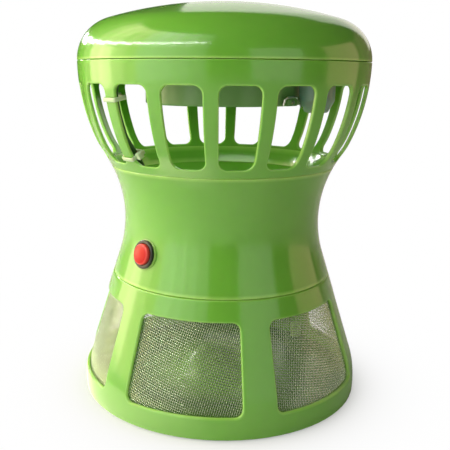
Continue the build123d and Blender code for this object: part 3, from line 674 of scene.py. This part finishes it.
def make_cage():
    """The ribbed cage on the spigot that enters the waist."""
    spigot_low, spigot_top = 154.0, 166.2
    sector = shell_sector(WAIST_TOP, CAGE_TOP, RIBS, (GAP_LOW, GAP_HIGH), GAP_ANGLE / 2, GAP_CORNER,
                          RIB_AZIMUTH + 180 / RIBS, edge=0.8, lip=0.45)
    shell = repeated_shell("cage_with_gaps", RIBS, sector)
    outer = side_run(spigot_low, WAIST_TOP - 0.6, WALL + 0.1)
    outer += side_run(WAIST_TOP + 0.1, spigot_top, WALL - 0.4)
    inner = side_run(spigot_top + 0.2, spigot_low, WALL + 1.9)
    for end in (0, -1):
        inner[end] = inner[end][:2] + (0.4,)
    spigot = lathe("spigot", outer + inner, GREEN_SHELL)
    dress(join("cage_with_spigot", shell, spigot), "fan_unit", "green_shell", "cage_grille")


def make_waist():
    """The narrow middle: spigot for the basket, seats for the switch and the inlet, tabs for the funnel."""
    foot, ledge, inner, outer, neck = 79.8, 85.9, 72.2, 74.6, 76.0
    pad_foot, tab_circle, tab_height = -3.8, 62.0, 125.25
    shell = lathe("waist_wall", wall_outline(WAIST_LOW, WAIST_TOP, 0.5), GREEN_SHELL)
    outline = [(inner, foot, 0.5), (outer, foot, 0.6), (outer, ledge, 0), (neck, ledge, 0),
               (neck, ledge + 2.3, 0), (inner, ledge + 2.3, 0.5)]
    spigot = lathe("waist_spigot", outline, GREEN_SHELL)
    pads = []
    for azimuth, radius, hole in ((SWITCH_AZIMUTH, 10.2, 8.0), (INLET_AZIMUTH, 7.5, 4.0)):
        outline = [(hole, pad_foot, 0), (radius, pad_foot, 0.3), (radius, PAD_FACE, 0.45),
                   (hole, PAD_FACE, 0.1)]
        pads.append(lathe("pad", outline, GREEN_SHELL, 64, seat_matrix(azimuth, FITTING_HEIGHT)))
    tabs = [block("tab", (10.0, 10.0, 2.5), 0.4, GREEN_SHELL, place)
            for place in spokes(30, 3, tab_circle, tab_height)]
    dress(join("waist_with_seats", shell, spigot, *pads, *tabs), "fan_unit", "green_shell", "waist_shell")


def dome_points(inset, count=40):
    """The cap's outer or inner line from rim to crown."""
    flat = float(side_radius(CAP_LOW)) - CROWN_CORNER
    crown = (flat ** 2 + CROWN_RISE ** 2 - CROWN_CORNER ** 2) / (2 * (CROWN_RISE - CROWN_CORNER))
    crown_centre = CAP_LOW + CROWN_RISE - crown
    bend = np.arctan2(CAP_LOW - crown_centre, flat)
    points = [(flat + (CROWN_CORNER - inset) * cos(t), CAP_LOW + (CROWN_CORNER - inset) * sin(t), 0.0)
              for t in np.linspace(0, bend, count // 2, endpoint=False)]
    points += [((crown - inset) * cos(t), crown_centre + (crown - inset) * sin(t), 0.0)
               for t in np.linspace(bend, pi / 2, count)]
    return points


def make_cap():
    """The dome with its locating ring, three hangers for the lamp and the collar that holds the lure."""
    rim = float(side_radius(CAP_LOW))
    ring_low, ring_top, ring_outer, ring_inner = 226.0, 236.0, 97.0, 94.6
    hanger_low, hanger_top, hanger_circle = 240.0, 261.5, 60.0
    collar_low, collar_roof, collar_top, collar_bore, collar_radius = 236.0, 248.5, 256.0, 9.3, 12.8
    outer = dome_points(0.0)
    outer[0] = (rim, CAP_LOW, 0.45)
    inner = [point for point in dome_points(WALL) if point[1] > ring_top + 0.5]
    ring = [(ring_outer + 0.2, ring_top, 0.0), (ring_inner, ring_top, 0.4), (ring_inner, ring_low, 0.5),
            (ring_outer, ring_low, 0.5), (ring_outer, CAP_LOW, 0.0), (ring_outer + 1.0, CAP_LOW, 0.0)]
    dome = lathe("dome", outer + inner[::-1] + ring, GREEN_SHELL)
    post = [(1.25, hanger_low, 0), (4.2, hanger_low, 0.4), (4.2, hanger_top, 0), (1.25, hanger_top, 0)]
    hangers = [lathe("hanger", post, GREEN_SHELL, 32, place) for place in spread(10, 3, hanger_circle)]
    cup = [(collar_bore, collar_low, 0.4), (collar_radius, collar_low, 0.6), (collar_radius, collar_top, 0),
           (0.0, collar_top, 0), (0.0, collar_roof, 0), (collar_bore, collar_roof, 0)]
    collar = lathe("collar", cup, GREEN_SHELL, 64, shift_matrix(*LURE_PLACE))
    dress(join("cap_dome", dome, *hangers, collar), "cap", "green_shell", "cap_shell")


def make_tray():
    """The floor with its raised dome, darker outside the dome as painted shade."""
    dome_radius, dome_top, low, high, sheet = 33.0, 24.0, 3.0, 5.5, 2.5
    edge = float(side_radius(low, WALL)) - 0.4
    rise = dome_top - high
    bend = (dome_radius ** 2 + rise ** 2) / (2 * rise)
    dome = [(r, dome_top - bend + sqrt(bend ** 2 - r ** 2), 0.0) for r in np.linspace(0, dome_radius - 2, 24)]
    top = dome + [(dome_radius + 1.5, high, 3.0), (60.0, high, 0), (edge, high, 0.6)]
    under = [(edge, low, 0.4), (60.0, low, 0), (dome_radius - 1, low, 2.0)]
    under += [(r, z - sheet, 0.0) for r, z, corner in dome[:-3][::-1]]
    tray = lathe("tray_with_dome", top + under, FINISHES["shaded_tray"])
    # Painted shade: the floor outside the dome gets the tray's dark lip colour.
    shaded_floor = [v.co.xy.length > 1.15 * dome_radius * MM for v in tray.data.vertices]
    tray.data.attributes["lip"].data.foreach_set("value", [float(flag) for flag in shaded_floor])
    dress(tray, "catch_basket", "green_shell", "bottom_tray")


# ---- Woven screens -----------------------------------------------------------------------------
def make_screens():
    """Six panels of square-weave wire on the bias, rolled to the skirt's taper behind the windows."""
    wire_radius, pitch_across, pitch_up, bias = 0.20, 1.42, 1.64, -13.5
    slope, overlap, side_overlap, depth = radians(18.0), 3.6, radians(2.6), WALL + 0.45
    middle = (WINDOW_LOW + WINDOW_HIGH) / 2
    half_angle = radians(WINDOW_ANGLE / 2) + side_overlap
    half_height = ((WINDOW_HIGH - WINDOW_LOW) / 2 + overlap) / cos(slope)
    half_width = half_angle * float(side_radius(middle, depth))
    wires = int(2 * sqrt(half_width ** 2 + half_height ** 2) / pitch_across) + 8
    values = {"Wires": wires + 1 - wires % 2, "Pitch Across": pitch_across * MM, "Pitch Up": pitch_up * MM,
              "Wire Radius": wire_radius * MM, "Bias": radians(bias),
              "Half Width": half_width * MM, "Half Height": half_height * MM,
              "Taper": half_angle * sin(slope), "Material": FINISHES["steel_mesh"]}
    weave = woven_wire_tree()
    for number in range(WINDOWS):
        seed = bpy.data.objects.new("screen_seed", bpy.data.meshes.new("screen_seed"))
        bpy.context.scene.collection.objects.link(seed)
        panel = grow(seed, weave, values, f"woven_screen_{number + 1}")
        flat = np.zeros(len(panel.data.vertices) * 3)
        panel.data.vertices.foreach_get("co", flat)
        flat = flat.reshape(-1, 3) / MM
        height = middle + flat[:, 1] * cos(slope)
        radius = side_radius(height, depth - flat[:, 2])
        azimuth = WINDOW_AZIMUTH + 360 / WINDOWS * number + np.degrees(flat[:, 0] / side_radius(height, WALL))
        panel.data.vertices.foreach_set("co", polar(azimuth, radius, height).ravel())
        panel.data.update()
        dress(panel, "catch_basket", "steel_mesh", f"mesh_screen_{number + 1}")


# ---- Switch, inlet -----------------------------------------------------------------------------
def make_switch():
    """The black collar and the red push cap that travels in it, made about the switch's own axis."""
    seat = seat_matrix(SWITCH_AZIMUTH, FITTING_HEIGHT)
    rim, face, bore, thread, collar = PAD_FACE + 2.1, PAD_FACE + 5.0, 7.2, 8.0, 9.5
    outline = [(bore, -12.0, 0.2), (thread, -12.0, 0.2), (thread, PAD_FACE, 0), (collar, PAD_FACE, 0.3),
               (collar, rim - 0.5, 0.5), (collar - 0.6, rim, 0.4), (bore, rim, 0.35)]
    bezel = lathe("switch_collar", outline, FINISHES["black_plastic"], 96, seat)
    dress(bezel, "fan_unit", "black_plastic", "switch_bezel")
    crown_radius, crown_rise, side, foot = 5.6, 0.55, 6.95, -7.0
    crown = [(r, face - crown_rise * (r / crown_radius) ** 2, 0.0) for r in np.linspace(0, crown_radius, 10)]
    outline = crown + [(side, face - 1.3, 1.0), (side, foot, 0.3), (0.0, foot, 0)]
    button = lathe("red_push_cap", outline, FINISHES["red_button"], 96, seat)
    dress(button, "button", "red_button", "push_button")


# ---- Lamp, clip, lure --------------------------------------------------------------------------
def make_lamp():
    """The lamp's drum under the cap: an open ring with a lip for the lens and three screwed ears."""
    wall, lens_seat, ledge, step = 2.0, 42.0, 49.0, 212.0
    inner = DRUM_RADIUS - wall
    corners = [(lens_seat, DRUM_LOW, 0.4), (DRUM_RADIUS, DRUM_LOW, 1.2), (DRUM_RADIUS, DRUM_TOP, 0.5),
               (inner, DRUM_TOP, 0.5), (inner, step, 0.3), (ledge, step, 0.3), (ledge, DRUM_LOW + wall, 0),
               (lens_seat, DRUM_LOW + wall, 0.2)]
    drum = lathe("lamp_drum", corners, FINISHES["lamp_plastic"])
    ears = [block("ear", (11.0, 9.0, 3.0), 0.4, FINISHES["lamp_plastic"], place)
            for place in spokes(10, 3, DRUM_RADIUS + 4.5, 238.5)]
    dress(join("lamp_drum_with_ears", drum, *ears), "cap", "lamp_plastic", "lamp_housing")


def make_lure():
    """The vial, a cup with a tapered foot that hangs from the cap's collar."""
    wall, taper, mouth, foot = 1.0, 207.6, 233.0, 7.4
    corners = [(0.0, LURE_LOW, 0), (foot, LURE_LOW, 2.5), (LURE_RADIUS, taper, 4.0),
               (LURE_RADIUS, mouth, 0.3), (LURE_RADIUS - wall, mouth, 0.3), (LURE_RADIUS - wall, taper, 3.5),
               (foot - wall, LURE_LOW + wall, 1.6), (0.0, LURE_LOW + wall, 0)]
    vial = lathe("lure_cup", corners, FINISHES["vial_plastic"], 96, shift_matrix(*LURE_PLACE), steps=7)
    dress(vial, "lure", "vial_plastic", "lure_vial")


def make_ties():
    """Two nylon ties round the rib that carries the lead. The lower one shows its head and cut tail."""
    band, thick, slack, lead_space = 2.6, 1.0, 0.35, 5.0
    nylon = FINISHES["white_nylon"]
    turn = radians(LEAD_AZIMUTH)
    outwards, across = Vector((sin(turn), -cos(turn), 0)), Vector((cos(turn), sin(turn), 0))
    deep = (WALL + lead_space) / 2 + slack + thick
    parts = []
    for height, shows_head in ((174.0, True), (209.3, False)):
        lean = side_lean(height)
        rib = 2 * float(side_radius(height + band)) * sin(radians((360 / RIBS - GAP_ANGLE) / 2))
        wide = rib / 2 + slack + thick
        along = outwards * sin(lean) + Vector((0, 0, cos(lean)))
        rest = Matrix((across, along.cross(across), along)).transposed().to_4x4()
        middle = outwards * float(side_radius(height, (WALL + lead_space) / 2)) + Vector((0, 0, height))
        place = Matrix.Translation(middle * MM) @ rest
        parts.append(band_loop("band", wide, deep, thick, band, place))
        if shows_head:
            head, tail = place @ shift_matrix(wide + 1.0, 0.6), place @ shift_matrix(wide + 1.2, 3.1)
            parts.append(block("head", (3.2, 4.2, 4.4), 0.5, nylon, head))
            parts.append(block("tail", (1.1, 3.6, band), 0.3, nylon, tail))
        else:
            head = place @ shift_matrix(1.4 - wide, deep + 1.0)
            parts.append(block("head", (4.2, 2.8, 4.4), 0.5, nylon, head))
    dress(join("nylon_ties", *parts), "fan_unit", "white_nylon", "cable_ties")


def band_loop(name, wide, deep, thick, band, to_world):
    """The strap of a cable tie: a rounded rectangle ring, half sizes wide and deep outside."""
    soft = 0.25

    def outline(wide, deep, corner):
        corners = [(wide, deep, corner), (-wide, deep, corner), (-wide, -deep, corner), (wide, -deep, corner)]
        return rounded(corners)[0]

    outside, inside = outline(wide, deep, 1.4), outline(wide - thick, deep - thick, 0.5)

    def ring(line, other, share, height):
        return [Vector((x + (u - x) * share, y + (v - y) * share, height)) * MM
                for (x, y), (u, v) in zip(line, other)]

    def maker(shape, lip):
        half = band / 2
        rows = [ring(outside, inside, 0, soft - half), ring(outside, inside, 0, half - soft),
                ring(outside, inside, soft, half), ring(inside, outside, soft, half),
                ring(inside, outside, 0, half - soft), ring(inside, outside, 0, soft - half),
                ring(inside, outside, soft, -half), ring(outside, inside, soft, -half)]
        quads(shape, lip, rows, [0.0] * len(rows))
        bmesh.ops.transform(shape, matrix=to_world, verts=shape.verts)
        bmesh.ops.recalc_face_normals(shape, faces=shape.faces)
    return new_piece(name, maker, FINISHES["white_nylon"])


def finish_cad_nodes():
    """Gives every CAD node its slot's finish."""
    slots = {row["node"]: row["material_slot"] for row in frame["record"]["subparts"]}
    for name, node in frame["nodes"].items():
        node.data.materials.clear()
        node.data.materials.append(FINISHES[slots[name]])


# ---- Studio ------------------------------------------------------------------------------------
def area_light(name, azimuth, elevation, power, colour, distance=1.3, size=(0.9, 0.9)):
    """A soft rectangle of light on a sphere about the middle of the trap, facing it."""
    middle = Vector((0, 0, 0.13))
    data = bpy.data.lights.new(name, "AREA")
    data.shape = "RECTANGLE"
    data.size, data.size_y = size
    data.energy = power
    data.color = colour
    turn, tilt = radians(azimuth), radians(elevation)
    way = Vector((sin(turn) * cos(tilt), -cos(turn) * cos(tilt), sin(tilt)))
    light = bpy.data.objects.new(name, data)
    aim = (-way).to_track_quat("-Z", "Y").to_matrix().to_4x4()
    light.matrix_world = Matrix.Translation(middle + way * distance) @ aim
    bpy.context.scene.collection.objects.link(light)


def make_lights():
    """Warm daylight from the left in graded soft boxes, dim fills, one curved strip, a glow in the cage."""
    warm, clear, amber = (1.0, 0.82, 0.52), (1.0, 0.98, 0.90), (1.0, 0.66, 0.40)
    box = (0.31, 0.75)
    for azimuth in range(-136, -12, 13):
        tint = warm if azimuth < -65 else clear
        broad = exp(-((azimuth + 58) / 44) ** 2)
        window = exp(-((azimuth + 101) / 15) ** 2)
        area_light(f"high_{-azimuth}", azimuth, 40, 1.45 * broad + 1.3 * window, tint, size=box)
        area_light(f"low_{-azimuth}", azimuth, 7, 1.30 * broad + 3.7 * window, tint, size=box)
    fills = [(38, 8, 1.9, clear), (98, 8, 2.6, amber), (140, 8, 0.5, amber), (165, 30, 2.6, clear)]
    for azimuth, elevation, power, colour in fills:
        area_light(f"fill_{azimuth}", azimuth, elevation, power, colour)

    steps, span, radiance, white = 9, 122, 21.0, (1.0, 0.97, 1.0)
    for step in range(steps):
        share = step / (steps - 1)
        azimuth, elevation = span * share - 142, 19 + 19 * share ** 0.7
        length = 2.08 * tan(radians(span / (steps - 1) / 2)) * cos(radians(elevation))
        thin = 0.055 - 0.035 * share
        power = radiance * length * thin * pi
        area_light(f"strip_{step}", azimuth, elevation, power, white, 1.0, (length, thin))

    glow = bpy.data.lights.new("inside", "AREA")
    glow.shape, glow.size, glow.energy, glow.color = "DISK", 0.06, 0.022, (0.85, 1.0, 0.75)
    lantern = bpy.data.objects.new("inside", glow)
    lantern.location = (-0.02, 0.0, 0.200)
    bpy.context.scene.collection.objects.link(lantern)


def make_world():
    """White behind the trap, but hardly any light from all round."""
    world = bpy.data.worlds.new("studio")
    bpy.context.scene.world = world
    world.use_nodes = True
    world.node_tree.nodes.clear()
    nodes = Nodes(world.node_tree)
    seen = nodes.add("ShaderNodeLightPath")
    dim = nodes.add("ShaderNodeBackground", {"Color": (0.86, 0.88, 0.84, 1), "Strength": 0.04})
    white = nodes.add("ShaderNodeBackground", {"Color": (1, 1, 1, 1), "Strength": 1.0})
    mixed = nodes.add("ShaderNodeMixShader", {0: seen, 1: dim, 2: white})
    nodes.add("ShaderNodeOutputWorld", {"Surface": mixed})


def pale_floor():
    """A floor that pales to white away from the foot, and glows left of the foot for glossy rays only: a
    painted reflection on the left side of the skirt.
    """
    foot, sheen_width = SIDE_RADIUS * MM, 0.08
    material = bpy.data.materials.new("pale floor")
    material.use_nodes = True
    material.node_tree.nodes.clear()
    nodes = Nodes(material.node_tree)
    place = nodes.add("ShaderNodeTexCoord", output=3)
    cloud = nodes.add("ShaderNodeTexNoise", {"Vector": place, "Scale": 3.0})
    tone = nodes.add("ShaderNodeMix", {"Factor": cloud, 6: (0.74, 0.74, 0.74, 1), 7: (0.78, 0.78, 0.78, 1)},
                     output=2, data_type="RGBA")
    away = nodes.add("ShaderNodeVectorMath", {0: place}, output=1, operation="LENGTH")
    fade = 1.0 - 0.5 * (away / foot) ** -9.0
    shader = nodes.add("ShaderNodeBsdfPrincipled", {"Base Color": tone, "Roughness": 0.7})
    glow = nodes.add("ShaderNodeEmission", {"Color": (1, 1, 1, 1), "Strength": 1.0})
    surface = nodes.add("ShaderNodeMixShader", {
        0: fade * nodes.add("ShaderNodeLightPath"), 1: shader, 2: glow})
    # Painted reflection: a warm glow that only glossy rays see, left of the foot and near it, lights up the
    # skirt's left side in reflections.
    left = nodes.add("ShaderNodeVectorMath", {0: place, 1: (-1 / sheen_width, 0, 0)}, output=1,
                     operation="DOT_PRODUCT")
    near = nodes.add("ShaderNodeMapRange", {0: away, 1: 0.14, 2: 0.20, 3: 1.0, 4: 0.0})
    reflection_only_glow = nodes.add("ShaderNodeEmission", {"Color": (1, 0.93, 0.66, 1), "Strength": 2.6})
    surface = nodes.add("ShaderNodeMixShader", {
        0: left * nodes.add("ShaderNodeLightPath", output=3) * near, 1: surface, 2: reflection_only_glow})
    nodes.add("ShaderNodeOutputMaterial", {"Surface": surface})
    return material


def make_studio():
    """World, floor and lights."""
    bpy.context.scene.view_settings.view_transform = "Standard"
    make_world()
    reach = 6.0
    mesh = bpy.data.meshes.new("floor")
    mesh.from_pydata([(-reach, -reach, 0), (reach, -reach, 0), (reach, reach, 0), (-reach, reach, 0)], [],
                     [(0, 1, 2, 3)])
    mesh.materials.append(pale_floor())
    floor = bpy.data.objects.new("floor", mesh)
    bpy.context.scene.collection.objects.link(floor)
    make_lights()


finish_cad_nodes()
make_basket()
make_waist()
make_cage()
make_cap()
make_tray()
make_screens()
make_switch()
make_lamp()
make_lure()
make_ties()
make_studio()
